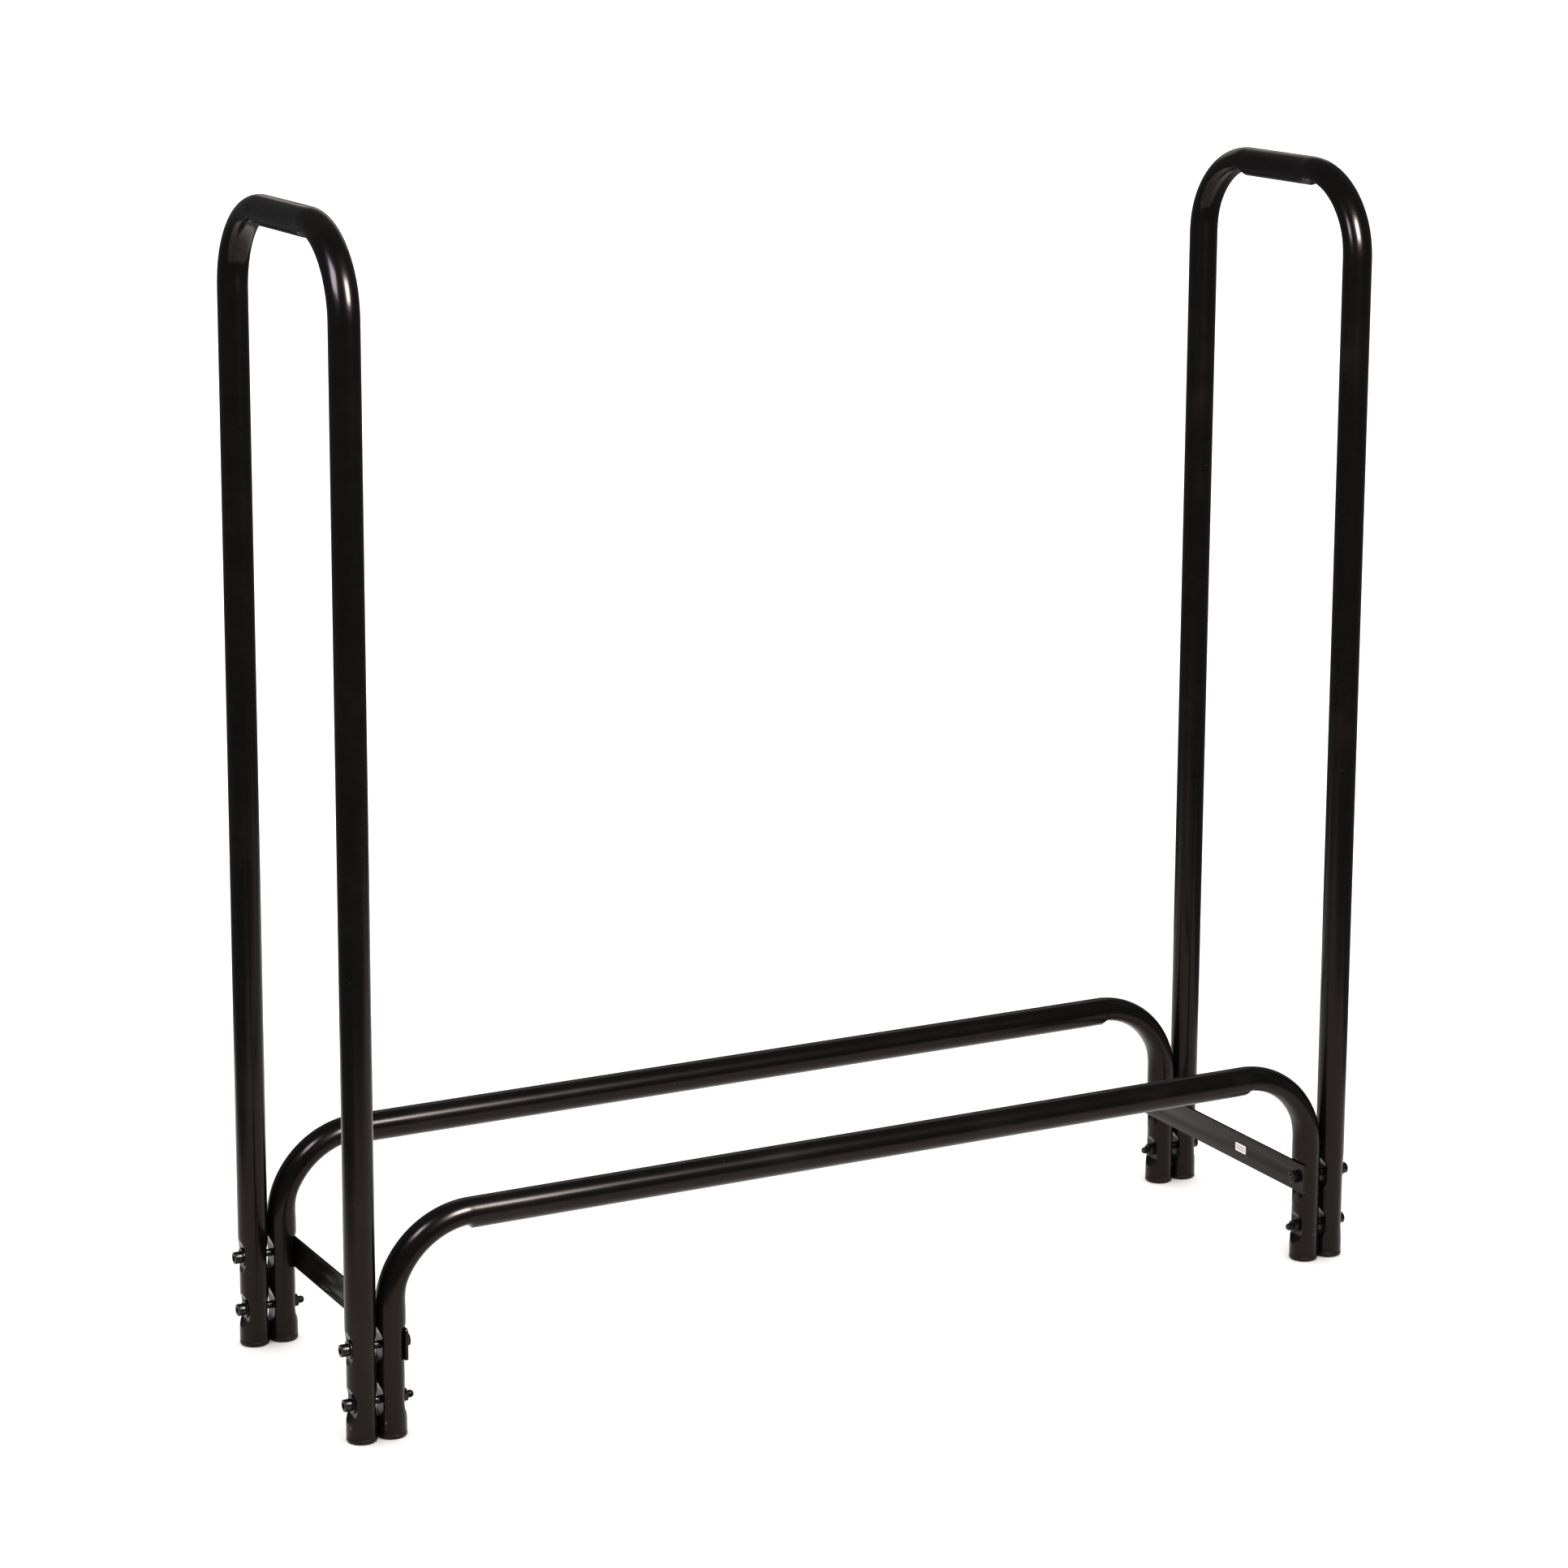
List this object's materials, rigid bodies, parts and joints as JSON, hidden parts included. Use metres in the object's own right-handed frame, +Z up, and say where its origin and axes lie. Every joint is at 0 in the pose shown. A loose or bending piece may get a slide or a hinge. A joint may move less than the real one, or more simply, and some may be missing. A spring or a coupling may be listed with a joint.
{
  "type": "firewood log rack",
  "caption": "Open firewood rack: two tall inverted-U tube hoops bolted to two long base rails with bent-down legs, tied by flat bars at the ends.",
  "frame": {"origin": "on the floor under the middle of the rack", "axes": "+X along the rails towards the right hoop, +Y to the rear, +Z up"},
  "size_m": [1.2324, 0.332, 1.2445],
  "materials": {
    "powder_coat": "satin-gloss black powder coat on steel tube and bar",
    "black_hardware": "black zinc plated steel, satin",
    "foot_cap": "moulded black polyethylene, low sheen",
    "label": "printed vinyl label, matt"
  },
  "bodies": {
    "root": {"left_hoop": "powder_coat", "right_hoop": "powder_coat", "front_rail": "powder_coat", "rear_rail": "powder_coat", "left_brace": "powder_coat", "right_brace": "powder_coat", "left_front_upper_bolt": "black_hardware", "left_front_upper_washer": "black_hardware", "left_front_upper_nut": "black_hardware", "left_front_lower_bolt": "black_hardware", "left_front_lower_washer": "black_hardware", "left_front_lower_nut": "black_hardware", "left_front_hoop_foot_cap": "foot_cap", "left_front_rail_foot_cap": "foot_cap", "left_rear_upper_bolt": "black_hardware", "left_rear_upper_washer": "black_hardware", "left_rear_upper_nut": "black_hardware", "left_rear_lower_bolt": "black_hardware", "left_rear_lower_washer": "black_hardware", "left_rear_lower_nut": "black_hardware", "left_rear_hoop_foot_cap": "foot_cap", "left_rear_rail_foot_cap": "foot_cap", "right_front_upper_bolt": "black_hardware", "right_front_upper_washer": "black_hardware", "right_front_upper_nut": "black_hardware", "right_front_lower_bolt": "black_hardware", "right_front_lower_washer": "black_hardware", "right_front_lower_nut": "black_hardware", "right_front_hoop_foot_cap": "foot_cap", "right_front_rail_foot_cap": "foot_cap", "right_rear_upper_bolt": "black_hardware", "right_rear_upper_washer": "black_hardware", "right_rear_upper_nut": "black_hardware", "right_rear_lower_bolt": "black_hardware", "right_rear_lower_washer": "black_hardware", "right_rear_lower_nut": "black_hardware", "right_rear_hoop_foot_cap": "foot_cap", "right_rear_rail_foot_cap": "foot_cap", "brace_label": "label"}
  },
  "joints": []
}
